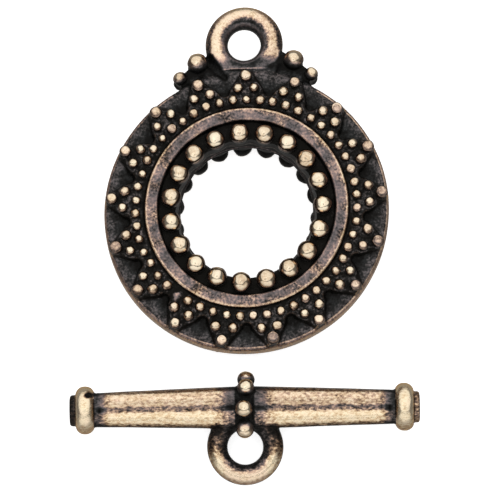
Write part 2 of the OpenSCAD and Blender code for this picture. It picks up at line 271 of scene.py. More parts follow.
def hub(r, a, z):
    """Floor and wall of the opening. Each bead's foot swells the wall, and the mould's joint left a line."""
    swell = FOOT_SWELL * bead_wave(a) * smooth(0.1, 1.0, z)
    lean = OPENING_R + OPENING_DRAFT * z / (FLOOR_T / 2) - swell
    body = trim(trim(z - FLOOR_T / 2, lean - r, edge=0.16), r - BEZEL_MID_R, edge=0.05)
    return melt(body, np.hypot(r - OPENING_R, z) - JOINT_R, fillet=0.05)


def bezel(r, z):
    return capped(r - BEZEL_MID_R, z, BEZEL_W / 2, BEZEL_T / 2, BEZEL_BEVEL)


def notch(r, a):
    """Distance from the outline of the recesses between the rays, seen from above, negative in them."""
    turn = np.mod(a, RAY_PITCH) - RAY_PITCH / 2
    u, v = np.abs(r * np.sin(turn)), r * np.cos(turn)
    end_v = STAR_ROOT_R + NOTCH_END_W / 2
    half = RAY_PITCH / 2
    tip = (RAY_TIP_R * math.sin(half) - RAY_TIP_W / 2 * math.cos(half),
           RAY_TIP_R * math.cos(half) + RAY_TIP_W / 2 * math.sin(half))
    wedge = -side_of(u, v, (NOTCH_END_W / 2, end_v), tip)
    return np.where(v < end_v, np.hypot(u, v - end_v) - NOTCH_END_W / 2, wedge) - NOTCH_GROWTH


def star(r, a, z):
    depth = z - star_top(r)
    rays = RAY_DRAFT * np.clip(depth, -RAY_DRAFT_DEPTH, 0) - notch(r, a)
    outline = trim(r - RAY_TIP_R, rays, edge=0.15)
    return trim(trim(outline, depth, edge=0.13), BEZEL_MID_R - r, edge=0.05)


def granule_spots():
    """The granules of one ray, as (distance, angle from the ray's middle, radius), three, two and one."""
    step = RAY_PITCH / 3
    pair = math.asin(MIDDLE_PAIR_W / 2 / MIDDLE_ROW_R)
    inner = [(INNER_ROW_R, k * step, GRANULE_D[0] / 2) for k in (-1, 0, 1)]
    middle = [(MIDDLE_ROW_R, side * pair, GRANULE_D[1] / 2) for side in (-1, 1)]
    return inner + middle + [(TIP_ROW_R, 0.0, GRANULE_D[2] / 2)]


def granule_seats(r, a, z, front):
    ray, turn = np.divmod(a + RAY_PITCH / 2, RAY_PITCH)
    turn = turn - RAY_PITCH / 2
    x, y = r * np.sin(turn), r * np.cos(turn)
    lost = front & (np.mod(ray, RAY_COUNT) == LOST_RAY)
    seats = np.inf
    for spot, (spot_r, spot_a, radius) in enumerate(granule_spots()):
        at = (*around(spot_r, spot_a), star_top(spot_r) + GRANULE_LIFT - SEAT_DROP * radius)
        seat = ball(x, y, z, at, SEAT_SHARE * radius)
        seats = np.minimum(seats, np.where(lost, seat + LOST_SEAT_SINK, seat) if spot == LOST_SPOT else seat)
    return seats


def bead_seats(r, a, z):
    turn = np.mod(a - BEAD_TURN + BEAD_PITCH / 2, BEAD_PITCH) - BEAD_PITCH / 2
    return ball(r * np.sin(turn), r * np.cos(turn), z, (0, BEAD_CIRCLE_R, BEAD_Z), BEAD_D / 2 - SEAT_INSET)


def shoulder_spots():
    """The shoulder beads of one side, as (distance, angle, radius)."""
    return [(RING_R + out, math.radians(angle), d / 2) for d, angle, out in SHOULDER_BEADS]


def shoulders(x, y, z):
    """Webs beside the eye's foot, with a seat for each shoulder bead. They run into the disc and the eye, and
    past their beads."""
    into_disc, past_beads, past_tip = 1, 0.15, math.radians(2)
    spots = shoulder_spots()
    (far_r, far_a, _), (tip_r, tip_a, _) = spots
    inner = math.asin(RING_EYE_R / RING_EYE_Y)
    # Corners clockwise from above, so they are turned round
    corners = [around(RING_R - into_disc, inner), around(RING_EYE_Y, inner),
               around(far_r + past_beads, far_a), around(tip_r + past_beads, tip_a),
               around(RING_R - into_disc, tip_a + past_tip)]
    u = np.abs(x - SHOULDER_SHIFT)
    web = polygon(u, y, corners[::-1])
    for r, a, bead in spots:
        at = around(r, a)
        web = melt(web, np.hypot(u - at[0], y - at[1]) - bead + 0.1, fillet=0.2)
    web = trim(web, z - SHOULDER_T / 2, edge=0.18)
    for r, a, bead in spots:
        at = (*around(r, a), SHOULDER_T / 2 + SHOULDER_LIFT)
        web = melt(web, ball(u, y, z, at, bead - SEAT_INSET), fillet=0.14)
    return web


def eye_foot(x, y, z):
    top = (RING_EYE_R + RING_EYE_WIRE_D / 4, RING_EYE_Y - RING_EYE_HOLE_D / 2 - RING_EYE_WIRE_D / 3)
    corners = [(-EYE_FOOT_W / 2, MIDDLE_ROW_R), (EYE_FOOT_W / 2, MIDDLE_ROW_R), top, (-top[0], top[1])]
    height = EYE_FOOT_T / 2 - FOOT_STEP * smooth(*FOOT_STEP_Y, y)
    return trim(polygon(x, y, corners), z - height, edge=0.16)


def ring_surface(x, y, z):
    """Distance from the ring's casting, with x, y and z from its centre."""
    front = z > 0
    y, z = y - RING_SHEAR * x, np.abs(z)
    r = np.hypot(x, y)
    a = np.arctan2(x, y) - np.where(front, FRONT_TURN, BACK_TURN).astype(x.dtype)
    shrink = np.where(front, 1, BACK_SHRINK).astype(x.dtype)
    body = melt(disc(r, z), hub(r, a, z), fillet=0.1)
    body = trim(melt(body, star(r / shrink, a, z), fillet=0.16), r - RING_R, edge=0.1)
    body = melt(body, shoulders(x, y, z), fillet=0.4)
    body = melt(body, eye_foot(x, y, z), fillet=0.14 + 0.3 * smooth(-0.4, 0.4, x))
    eye = loop(x, y - RING_EYE_Y - EYE_RISE, z, RING_EYE_R + EYE_WIDER, RING_EYE_WIRE_D / 2 + EYE_THICKER)
    # The mould cut the eye off straight over its foot
    body = melt(body, trim(eye, LEDGE_Y - y, edge=0.02), fillet=0.14)
    for form in (bezel(r, z), granule_seats(r / shrink, a, z, front), bead_seats(r, a, z)):
        body = melt(body, form, fillet=0.1)
    body = trim(body, RING_EYE_HOLE_D / 2 - np.hypot(x, y - RING_EYE_Y), edge=0.05)
    body = trim(body, -spike(x, y, z, *GROOVE), edge=0.2)
    return body + 0.012 * wobble(x, y, z, 2.4, SEED)


def taper(pair, t):
    """Size at t, which is 0 at the bar's middle and 1 beside the collars."""
    return pair[0] + (pair[1] - pair[0]) * t


def shaft(x, y, z):
    """Four lobes round a core, tapering to the collars."""
    t = np.minimum(x / COLLAR_X, 1)
    lobe_r = taper(LOBE_D, t) / 2
    mid_y = taper(SHAFT_W, t) / 2 - lobe_r
    mid_z = taper(SHAFT_T, t) / 2 - lobe_r
    lobes = [np.hypot(y - sy * mid_y, z - sz * mid_z) - lobe_r for sy in (-1, 1) for sz in (-1, 1)]
    body = melt(melt(lobes[0], lobes[1], fillet=0.3), melt(lobes[2], lobes[3], fillet=0.3), fillet=0.38)
    body = melt(body, np.hypot(y, z) - mid_y, fillet=0.12)
    return np.maximum(body, x - COLLAR_X)


def bent(x):
    """How far the bar's axis lies up from straight at x."""
    return BAR_BOW * (0.6 - (x / 10) ** 2) - BAR_SLANT * x


def bar_surface(x, y, z):
    """Distance from the bar's casting, with x, y and z from its middle and the bar unrolled."""
    y = y - bent(x)
    side = np.abs(x)
    axis = np.hypot(y, z)
    collar = capped(side - COLLAR_X, axis, COLLAR_W / 2, COLLAR_D / 2, COLLAR_EDGE_D / 2 + 0.12)
    button = capped(side - COLLAR_X, axis, COLLAR_W / 2 + BUTTON_OUT, BUTTON_D / 2, BUTTON_BEVEL)
    band = capped(x, axis, BAND_W / 2, BAND_D / 2, 0.12)
    for angle, at, out, _ in BAND_BEADS:
        middle = (at, *around(BAND_BEAD_REACH + out, math.radians(angle)))
        band = melt(band, ball(x, y, z, middle, BAND_BEAD_D / 2 - BAND_SEAT_INSET), fillet=0.1)
    body = melt(melt(shaft(side, y, z), collar, fillet=0.14), button, fillet=0.08)
    body = melt(body, band, fillet=0.16)
    body = melt(body, loop(x, y - BAR_EYE_Y, z, BAR_EYE_R, BAR_EYE_WIRE_D / 2), fillet=0.3)
    body = trim(body, BAR_EYE_HOLE_D / 2 - np.hypot(x, y - BAR_EYE_Y), edge=0.05)
    shares = [((value - at) / half) ** 2 for value, at, half in zip((x, y, z), NICK, NICK_SIZE)]
    nick = (np.sqrt(sum(shares)) - 1) * min(NICK_SIZE)
    return trim(body, -nick, edge=0.03) + 0.01 * wobble(x, y, z, 2.0, SEED + 1)


# How far each place was rubbed, and where light and shade are painted

class PatinaAndLight:
    """How a casting was rubbed, and where light and shade are painted on it, at each of its points. rub says
    how far the polishing reached, with painted highlights and shade in places, from 0 to 1, cool how violet
    the film is, line how many half widths away a thin line is, and mark its strength."""

    def __init__(self, count):
        self.rub_and_light, self.cool, self.line, self.mark = np.zeros((4, count))

    def brighten(self, level):
        self.rub_and_light = np.maximum(self.rub_and_light, level)

    def tint(self, amount):
        self.cool = self.cool + amount

    def draw(self, where, line, mark):
        self.line = np.where(where, line, self.line)
        self.mark = np.where(where, mark, self.mark)

    def dull(self, hollow, start, end):
        """The cloth didn't reach into the hollows."""
        self.rub_and_light = np.clip(self.rub_and_light - 0.5 * smooth(start, end, hollow), 0, 1)


def rub_and_sheen_disc(patina_and_light, x, r, z, up, clear_of_eye):
    """The disc between the rays, its wall, and its edge: a thin bright line, brightest on the right."""
    # The field's outer part is lighter where it faces up: partly light wear, partly a painted sheen.
    field = up * (z < 1.0)
    patina_and_light.brighten(0.03 + 0.26 * smooth(7.0, 8.3, r) * smooth(9.0, 8.5, r) * field)
    wall = smooth(8.33, 8.42, r) * (z < 0.75) * clear_of_eye
    patina_and_light.brighten(0.66 * wall)
    middle, half_width = 8.31 + 0.05 * (x / r) ** 2, 0.065
    strength = (0.42 + 0.15 * x / r) * clear_of_eye * smooth(8.05, 8.2, r)
    patina_and_light.draw(True, (r - middle) / half_width, strength)
    patina_and_light.tint(0.85 * field * (r > 6.9) + 0.4 * wall)


def rub_star(patina_and_light, x, y, z, front):
    """The star: its lips over the recesses, a violet ring round each granule, and the lost granule's scar."""
    r = np.hypot(x, y)
    a = np.arctan2(x, y) - np.where(front, FRONT_TURN, BACK_TURN)
    on_star = (r > BEZEL_OUT_R + 0.1) * (r < RAY_TIP_R - 0.1) * (z > 1.1)
    lip = smooth(0.14, 0.04, np.abs(notch(r, a))) * smooth(-0.16, -0.05, z - star_top(r))
    patina_and_light.brighten(lip * on_star * (0.08 + 0.16 * smooth(7.7, 7.1, r)))
    seat = granule_seats(r, a, z, front)
    halo = smooth(0.1, 0.17, seat) * smooth(0.3, 0.2, seat) * on_star
    patina_and_light.brighten(0.28 * halo)
    lost_r, lost_a, _ = granule_spots()[LOST_SPOT]
    lost_x, lost_y = around(lost_r, LOST_RAY * RAY_PITCH + lost_a + FRONT_TURN)
    scar = smooth(0.36, 0.2, np.hypot(x - lost_x, y - lost_y)) * front
    patina_and_light.brighten(0.75 * scar)
    patina_and_light.tint(0.8 * halo + 0.7 * scar)


def rub_bezel(patina_and_light, x, y, z, r):
    """The bezel's face, in soft patches of red and violet, with both its edges rubbed a little brighter."""
    on_bezel = smooth(1.55, 1.72, z) * (np.abs(r - BEZEL_MID_R) < BEZEL_W / 2 + 0.05)
    outer = smooth(5.75, 6.0, r)
    patina_and_light.brighten(on_bezel * (0.42 + 0.2 * wobble(x, y, z, 0.9, SEED + 2) + 0.14 * outer))
    inner_edge, outer_edge, half_width = 5.34, 5.98, 0.1
    away = (r - inner_edge) * (r - outer_edge) / (outer_edge - inner_edge)
    patina_and_light.draw(on_bezel > 0, away / half_width, 0.1 + 0.18 * outer)
    red = smooth(0.0, 0.4, wobble(x, y, z, 1.8, SEED + 4))
    patina_and_light.tint(on_bezel * (1 - 0.4 * outer - 0.5 * red))


def rub_hub(patina_and_light, r, a, z):
    """The opening's wall, dark but for the mould's joint and a fold of the metal along the beads' feet."""
    on_wall = (r < OPENING_R + 0.2) * (z < FLOOR_T / 2)
    patina_and_light.brighten(0.06 * on_wall)
    fold, half_width = 0.42 - 0.16 * bead_wave(a), 0.05
    away = (z - JOINT_R) * (z - fold) / (fold - JOINT_R)
    patina_and_light.draw(on_wall, away / half_width, 0.34 * smooth(0.7, 0.6, z))
    patina_and_light.tint(on_wall)


def from_eye(x, y, n):
    """Distance from an eye's middle, and how far the surface faces away from it, from -1 to 1."""
    r = np.hypot(x, y)
    return r, (n[:, 0] * x + n[:, 1] * y) / np.maximum(r, 1e-6)


def rub_and_shade_ring_eye(patina_and_light, x, y, z, n, up):
    """The eye, bright along its crest, with painted shade on the crest's outer side to the left and right,
    and the edge where it stops over its foot.
    """
    eye_y = y - RING_EYE_Y
    r, outward = from_eye(x, eye_y, n)
    off_wire = np.abs(np.hypot(r - RING_EYE_R, z) - RING_EYE_WIRE_D / 2 - 0.03)
    on_eye = smooth(0.14, 0.04, off_wire) * (y > LEDGE_Y - 0.02)
    foot_side = smooth(-0.6, -1.3, eye_y)
    start = -0.4 + 0.26 * np.clip(eye_y / r, 0, 1) + 0.12 * wobble(x, y, z, 1.2, SEED + 3)
    crest = smooth(-0.32, 0.28, outward - start) * smooth(0.02, 0.4, up)
    # Painted shade: to the left and right, the outer side of the crest is darkened.
    crest = crest * (1 - 0.85 * smooth(0.35, 0.65, outward) * np.abs(x / r) ** 1.5)
    inner_gleam = smooth(-0.92, -0.78, outward) * smooth(-0.4, -0.6, outward)
    film = 0.1 + 0.28 * inner_gleam + 0.18 * smooth(-0.4, 0.2, outward)
    patina_and_light.brighten(on_eye * (film + crest * (0.7 - 0.1 * x / r - 0.6 * foot_side)))
    ledge = (np.abs(y - LEDGE_Y) < 0.2) * (z > 0.5) * (z < 0.8)
    patina_and_light.draw(ledge, (y - LEDGE_Y - 0.02) / 0.07, 0.2 * smooth(1.45, 1.2, np.abs(x)))
    patina_and_light.tint(on_eye * (0.9 * foot_side + 0.4 * smooth(-0.3, -0.6, outward) - 0.3 * crest) + ledge)


def rub_and_light_ring(p, n, hollow):
    """The ring's film, polish and painted light and shade at points p with directions n."""
    x, y, z = p[:, 0], p[:, 1] - RING_SHEAR * p[:, 0], np.abs(p[:, 2])
    r, a = np.hypot(x, y), np.arctan2(x, y)
    up = np.abs(n[:, 2])
    patina_and_light = PatinaAndLight(len(p))
    rub_and_sheen_disc(patina_and_light, x, r, z, up, np.abs(a) > EYE_SPAN)
    rub_star(patina_and_light, x, y, z, p[:, 2] > 0)
    rub_bezel(patina_and_light, x, y, z, r)
    rub_hub(patina_and_light, r, a, z)
    rub_and_shade_ring_eye(patina_and_light, x, y, z, n, up)
    patina_and_light.rub_and_light = patina_and_light.rub_and_light * smooth(-0.05, 0.25, spike(x, y, z, *GROOVE))
    patina_and_light.dull(hollow, 0.3, 0.65)
    return patina_and_light


def rub_and_highlight_shaft(patina_and_light, x, y, side, up):
    """The shafts, brightest on their lobes, darker towards the band and the collars. Where the lobes face up,
    and
    on the lower lobe, they are lighter: polish on the crests and a painted highlight. The film stayed in the
    groove between the lobes."""
    half_w = taper(SHAFT_W, side / COLLAR_X) / 2
    # Painted highlight: lighter where the lobes face up, over the polish of their crests, and on the lower
    # lobe.
    patina_and_light.rub_and_light = (0.44 + 0.38 * smooth(0.1, 0.8, up) - 0.006 * x * smooth(-0.25, 0.25, y)
                  + 0.1 * smooth(0.25, -0.25, y) - 0.34 * smooth(0.65, 0.95, -y / half_w))
    groove, half_width = (y + 0.03 * np.sin(3 * x)), 0.26
    fade = smooth(0.5, 0.8, side) * smooth(COLLAR_X - 0.6, COLLAR_X - 0.9, side)
    patina_and_light.draw(True, groove / half_width, -0.36 * fade)
    neck = smooth(COLLAR_X - 1.6, COLLAR_X - 0.6, side) + 0.85 * smooth(2.0, 0.5, side)
    patina_and_light.rub_and_light = patina_and_light.rub_and_light - 0.6 * neck
    in_groove = smooth(1.0, 0.4, np.abs(patina_and_light.line)) * (side > 0.6) * (side < COLLAR_X - 0.6)
    upper = (y > 0) * (side < COLLAR_X - COLLAR_W / 2)
    patina_and_light.tint(0.6 * smooth(0.2, 0.6, neck) + 0.35 * upper + 0.4 * in_groove)


def rub_bar_eye(patina_and_light, x, y, z, n, up):
    """The bar's eye, brightest on its lower half."""
    eye_y = y - BAR_EYE_Y
    r, outward = from_eye(x, eye_y, n)
    on_eye = smooth(0.25, 0.1, np.hypot(r - BAR_EYE_R, z) - BAR_EYE_WIRE_D / 2) * smooth(-1.35, -1.6, y)
    crest = smooth(-0.7, 0.1, outward) * smooth(0.0, 0.5, up)
    crest = crest * (1 - 0.3 * smooth(0.45, 0.95, outward))
    eye = 0.2 + crest * (0.2 * smooth(1.0, 0.3, eye_y) + 0.6 * smooth(0.3, -0.9, eye_y))
    patina_and_light.rub_and_light = patina_and_light.rub_and_light * (1 - on_eye) + eye * on_eye


def rub_and_light_bar(p, n, hollow):
    """The bar's film, polish and painted light and shade at points p with directions n."""
    x, y, z = p[:, 0], p[:, 1] - bent(p[:, 0]), p[:, 2]
    side = np.abs(x)
    up = n[:, 2]
    patina_and_light = PatinaAndLight(len(p))
    rub_and_highlight_shaft(patina_and_light, x, y, side, up)
    on_collar = side > COLLAR_X - COLLAR_W / 2 + 0.03
    on_button = side > COLLAR_X + COLLAR_W / 2 + 0.02
    # Painted shade: each collar is darker towards its rounded edges and on its lower side.
    shoulder = smooth(0.35, 0.6, np.abs(side - COLLAR_X)) + smooth(-0.7, -1.35, y)
    for where, level in ((on_collar, 1.0 - 0.22 * shoulder - smooth(0.15, 0.5, hollow)),
                         (on_button, 0.2 + 0.36 * (x > 0)),
                         (side < BAND_W / 2 + 0.15, 0.06)):
        patina_and_light.rub_and_light = np.where(where, level, patina_and_light.rub_and_light)
    patina_and_light.tint(-0.5 * on_collar)
    rub_bar_eye(patina_and_light, x, y, z, n, up)
    eye_root = smooth(0.5, 0.15, np.hypot(side - BAR_EYE_R, y + SHAFT_W[0] / 2))
    in_nick = smooth(0.24, 0.1, np.hypot((x - NICK[0]) / 1.5, y - NICK[1]))
    patina_and_light.rub_and_light = patina_and_light.rub_and_light * (1 - 0.75 * eye_root) * (1 - in_nick)
    patina_and_light.dull(np.where(on_collar, 0, hollow), 0.35, 0.75)
    return patina_and_light


# Objects and meshes

def new_object(name, data):
    thing = bpy.data.objects.new(name, data)
    bpy.context.scene.collection.objects.link(thing)
    return thing


def finished_mesh(thing):
    """Mesh of an object with its modifiers done. The object goes."""
    mesh = bpy.data.meshes.new_from_object(thing.evaluated_get(bpy.context.evaluated_depsgraph_get()))
    bpy.data.objects.remove(thing)
    return mesh


def slope_of(field, p, h=0.01):
    """Unit direction in which the field grows at points p."""
    g = np.stack([field(*(p + h * e).T) - field(*(p - h * e).T) for e in np.eye(3, dtype=p.dtype)], axis=1)
    return g / np.maximum(np.linalg.norm(g, axis=1, keepdims=True), 1e-9)


def settle(field, p, rounds=3):
    """Moves points p onto the field's zero surface."""
    for _ in range(rounds):
        p = p - slope_of(field, p) * np.clip(field(*p.T), -0.05, 0.05)[:, None]
    return p


def net(field, low, high, cell):
    """Points and quads of the zero surface: one point in each cell it crosses, one quad over each edge."""
    axes = [np.arange(lo, hi + cell, cell, dtype=np.float32) for lo, hi in zip(low, high)]
    layers = [field(*np.meshgrid(axes[0], axes[1], [z], indexing="ij"))[:, :, 0] for z in axes[2]]
    inside = np.stack(layers, axis=2) < 0
    n = [size - 1 for size in inside.shape]
    steps = (0, 1)
    corner = [inside[i:i + n[0], j:j + n[1], k:k + n[2]] for i in steps for j in steps for k in steps]
    filled = sum(c.astype(np.uint8) for c in corner)
    crossed = (filled > 0) & (filled < len(corner))
    index = np.full(crossed.shape, -1, np.int32)
    index[crossed] = np.arange(crossed.sum())
    points = np.argwhere(crossed).astype(np.float32) * cell + np.float32(low) + cell / 2
    quads = []
    for axis in range(3):
        b, c = (axis + 1) % 3, (axis + 2) % 3
        first, second = [slice(1, -1)] * 3, [slice(1, -1)] * 3
        first[axis], second[axis] = slice(0, -1), slice(1, None)
        flips = np.argwhere(inside[tuple(first)] != inside[tuple(second)])
        flips[:, (b, c)] += 1
        starts_inside = inside[tuple(flips.T)]
        around_edge = []
        for back in ((b, c), (c,), (), (b,)):
            at = flips.copy()
            at[:, back] -= 1
            around_edge.append(index[tuple(at.T)])
        quad = np.stack(around_edge, axis=1)
        quad[~starts_inside] = quad[~starts_inside][:, ::-1]
        quads.append(quad)
    return settle(field, points), np.concatenate(quads)


def thin(points, quads, most):
    """The same surface with at most that many triangles, fewer where it is plain."""
    mesh = bpy.data.meshes.new("net")
    mesh.from_pydata(points, [], quads)
    work = new_object("net", mesh)
    work.modifiers.new("thin", "DECIMATE").ratio = min(1, most / (2 * len(quads)))
    result = finished_mesh(work)
    result.calc_loop_triangles()
    points = np.array([vertex.co for vertex in result.vertices], np.float32)
    faces = np.array([triangle.vertices for triangle in result.loop_triangles], np.int32)
    bpy.data.meshes.remove(result)
    return points, faces


def hollow_at(field, p):
    """How hollow the surface is at points p, from 0 to 1, by the field at three distances in front of it."""
    normals = slope_of(field, p)
    hollow = 0
    for reach, share in ((0.12, 0.35), (0.3, 0.35), (0.6, 0.3)):
        hollow = hollow + share * (1 - field(*(p + normals * reach).T) / reach)
    return np.clip(hollow, 0, 1)


def cast_piece(name, field, points, faces, place, rub_and_light):
    """Mesh object from points in millimetres, with the film, polish and painted light that rub gives, at its
    place in the frame.
    """
    mesh = bpy.data.meshes.new(name)
    mesh.from_pydata(points * MM, [], faces)
    mesh.validate()
    mesh.shade_smooth()
    normals = np.empty(points.size, np.float32)
    mesh.vertex_normals.foreach_get("vector", normals)
    patina_and_light = rub_and_light(points, normals.reshape(-1, 3), hollow_at(field, points))
    for key, values in vars(patina_and_light).items():
        mesh.attributes.new(key, "FLOAT", "POINT").data.foreach_set("value", values.astype(np.float32))
    mesh.transform(place)
    return new_object(name, mesh)


def ring_place():
    low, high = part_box("toggle_ring")
    return Matrix.Translation(((low.x + high.x) / 2, low.y + RING_R * MM, (low.z + high.z) / 2))


def bar_place():
    low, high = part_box("toggle_bar")
    foot = (BAR_EYE_R - BAR_EYE_Y) * math.cos(BAR_ROLL) + BAR_EYE_WIRE_D / 2
    at = ((low.x + high.x) / 2, low.y + foot * MM, low.z + COLLAR_D / 2 * MM)
    return Matrix.Translation(at) @ Matrix.Rotation(BAR_ROLL, 4, "X")


def make_ring():
    edge, top, face = RING_R + 0.3, 12.7, 2.3
    points, faces = net(ring_surface, (-edge, -edge, -face), (edge, top, face), RING_CELL)
    points, faces = thin(points, faces, MOST_TRIANGLES)
    points = settle(ring_surface, points, rounds=1)
    return cast_piece("ring_casting", ring_surface, points, faces, ring_place(), rub_and_light_ring)


def make_bar():
    end, low, high = BAR_L / 2 + 0.2, (-4.8, -1.7), (2.6, 2.5)
    points, faces = net(bar_surface, (-end, *low), (end, *high), BAR_CELL)
    return cast_piece("bar_casting", bar_surface, points, faces, bar_place(), rub_and_light_bar)


# Granules and beads

def add_node(tree, kind, *inputs, **settings):
    """Adds a node with those settings and gives its outputs. Its inputs come in order, or in a dictionary by
    their names or numbers, and each is a value or the output of another node."""
    node = tree.nodes.new(kind)
    for key, value in settings.items():
        setattr(node, key, value)
    named = inputs[0] if inputs and isinstance(inputs[0], dict) else dict(enumerate(inputs))
    for key, value in named.items():
        if isinstance(value, bpy.types.NodeSocket):
            tree.links.new(value, node.inputs[key])
        else:
            node.inputs[key].default_value = value
    return node.outputs


def bead_tree(name, segments, rings):
    """Geometry Nodes that set a slightly lumpy, slightly uneven ball on each point of a mesh, with a shallow
    dish worn into its crown. They store crown, the height along its axis, flank, the painted shade on its
    left, right and lower sides, luck, a draw of its own, and cool, how violet its film is."""
    tree = bpy.data.node_groups.new(name, "GeometryNodeTree")
    kinds = {"Spots": "Geometry", **dict.fromkeys(BEAD_SIZES, "Float"), "Seed": "Int", "Finish": "Material"}
    for label, kind in kinds.items():
        tree.interface.new_socket(label, in_out="INPUT", socket_type="NodeSocket" + kind)
    tree.interface.new_socket("Beads", in_out="OUTPUT", socket_type="NodeSocketGeometry")
    add = partial(add_node, tree)
    given = add("NodeGroupInput")

    # One ball, with the places that get painted shade: to the left and right of its crown, and under it
    one = add("GeometryNodeMeshUVSphere", {"Segments": segments, "Rings": rings})["Mesh"]
    place = add("ShaderNodeSeparateXYZ", add("GeometryNodeInputPosition")[0])
    square = add("ShaderNodeMath", place["X"], place["X"], operation="MULTIPLY")[0]
    beside = add("ShaderNodeMath", square, given["Side shade share"], operation="MULTIPLY")[0]
    lower = add("ShaderNodeMath", place["Y"], 0.0, operation="MINIMUM")[0]
    under = add("ShaderNodeMath", lower, given["Lower shade share"], operation="MULTIPLY")[0]
    flank = add("ShaderNodeMath", beside, under, operation="SUBTRACT")[0]
    for key, value in (("crown", place["Z"]), ("flank", flank)):
        one = add("GeometryNodeStoreNamedAttribute", {"Geometry": one, "Name": key, "Value": value})[0]

    # One ball on each spot, of the spot's size and a little more or less
    radius, crown, worn = [add("GeometryNodeInputNamedAttribute", key)["Attribute"]
                           for key in ("radius", "crown", "worn")]
    axis = add("GeometryNodeInputNamedAttribute", "axis", data_type="FLOAT_VECTOR")["Attribute"]
    spread = add("FunctionNodeRandomValue", {
        "Min": add("ShaderNodeMath", 1.0, given["Size spread"], operation="SUBTRACT")[0],
        "Max": add("ShaderNodeMath", 1.0, given["Size spread"], operation="ADD")[0],
        "Seed": given["Seed"]}, data_type="FLOAT")[1]
    size = add("ShaderNodeMath", radius, spread, operation="MULTIPLY")[0]
    turn = add("FunctionNodeAlignRotationToVector", {"Vector": axis}, axis="Z")[0]
    placed = add("GeometryNodeInstanceOnPoints", {
        "Points": given["Spots"], "Instance": one, "Rotation": turn, "Scale": size})[0]
    luck = add("FunctionNodeRandomValue", {"Seed": given["Seed"]}, data_type="FLOAT")[1]
    placed = add("GeometryNodeStoreNamedAttribute", {"Geometry": placed, "Name": "luck", "Value": luck},
                 domain="INSTANCE")[0]
    real = add("GeometryNodeRealizeInstances", placed)[0]

    # The film is violet in the dish and low on the sides
    dish = add("ShaderNodeMapRange", crown, DISH_RIM, DISH_FULL, 0.0, 0.6)[0]
    side = add("ShaderNodeMapRange", crown, 0.3, 0.7, 0.75, 0.0)[0]
    cool = add("ShaderNodeMath", dish, worn, side, operation="MULTIPLY_ADD")[0]
    real = add("GeometryNodeStoreNamedAttribute", {"Geometry": real, "Name": "cool", "Value": cool})[0]

    # The wear takes the crown down along the axis
    cap = add("ShaderNodeMath", crown, CAP_HEIGHT, operation="SUBTRACT", use_clamp=True)[0]
    lost = add("ShaderNodeMath", cap, worn, operation="MULTIPLY")[0]
    depth = add("ShaderNodeMath", lost, radius, operation="MULTIPLY")[0]
    outward = add("ShaderNodeVectorMath", {0: axis, "Scale": depth}, operation="SCALE")[0]
    inward = add("ShaderNodeVectorMath", {0: outward, "Scale": -CAP_LOSS}, operation="SCALE")[0]
    real = add("GeometryNodeSetPosition", {"Geometry": real, "Offset": inward})[0]

    # Lumps of the given height and length
    waves = add("ShaderNodeMath", 1.0 / MM, given["Lump length"], operation="DIVIDE")[0]
    lumps = add("ShaderNodeTexNoise", {"Scale": waves, "Detail": 1.0})[0]
    centred = add("ShaderNodeMath", lumps, 0.5, operation="SUBTRACT")[0]
    lift = add("ShaderNodeMath", centred, given["Lump height"], operation="MULTIPLY")[0]
    normal = add("GeometryNodeInputNormal")[0]
    offset = add("ShaderNodeVectorMath", {0: normal, "Scale": lift}, operation="SCALE")[0]
    moved = add("GeometryNodeSetPosition", {"Geometry": real, "Offset": offset})[0]
    shaded = add("GeometryNodeSetShadeSmooth", moved)[0]
    done = add("GeometryNodeSetMaterial", {"Geometry": shaded, "Material": given["Finish"]})[0]
    add("NodeGroupOutput", done)
    return tree


def set_beads(name, beads, place, tree, finish, sizes):
    """The beads as one plain mesh, made by the tree with those sizes."""
    mesh = bpy.data.meshes.new(name + "_spots")
    mesh.from_pydata([Vector((bead.x, bead.y, bead.z)) * MM for bead in beads], [], [])
    mesh.transform(place)
    turn = place.to_3x3()
    mesh.attributes.new("axis", "FLOAT_VECTOR", "POINT").data.foreach_set(
        "vector", [part for bead in beads for part in turn @ Vector(bead.axis)])
    for key, unit in (("radius", MM), ("foot", 1), ("worn", 1)):
        values = [getattr(bead, key) * unit for bead in beads]
        mesh.attributes.new(key, "FLOAT", "POINT").data.foreach_set("value", values)
    spots = new_object(name + "_spots", mesh)
    modifier = spots.modifiers.new("beads", "NODES")
    modifier.node_group = tree
    inputs = {**BEAD_SIZES, "Seed": SEED, "Finish": finish, **sizes}
    for item in tree.interface.items_tree:
        if item.name in inputs:
            modifier[item.identifier] = inputs[item.name]
    result = finished_mesh(spots)
    result.name = name
    return new_object(name, result)


def on_faces(places):
    """Both faces' beads, from front places (distance, angle, z, radius, foot, worn)."""
    beads = []
    for r, a, z, radius, foot, worn in places:
        for side, turn, shrink in ((1, FRONT_TURN, 1), (-1, BACK_TURN, BACK_SHRINK)):
            x, y = around(r * shrink, a + turn)
            beads.append(Bead(x, y + RING_SHEAR * x, side * z, (0, 0, side), radius, foot, worn))
    return beads


def granule_places():
    rng = np.random.default_rng(SEED)
    places = []
    for ray in range(RAY_COUNT):
        for spot, (spot_r, spot_a, radius) in enumerate(granule_spots()):
            z = star_top(spot_r) + GRANULE_LIFT
            if (ray, spot) == (LOST_RAY, LOST_SPOT):
                z -= LOST_SINK
            worn = rng.uniform(0.1, 1.1) if spot == TIP_SPOT else max(0.0, rng.normal(0, 0.3))
            r = spot_r + rng.normal(0, 0.03)
            a = ray * RAY_PITCH + spot_a + rng.normal(0, 0.004)
            places.append((r, a, z, radius * GRANULE_SPREAD, rng.uniform(0.4, 0.75), worn))
    return on_faces(places)


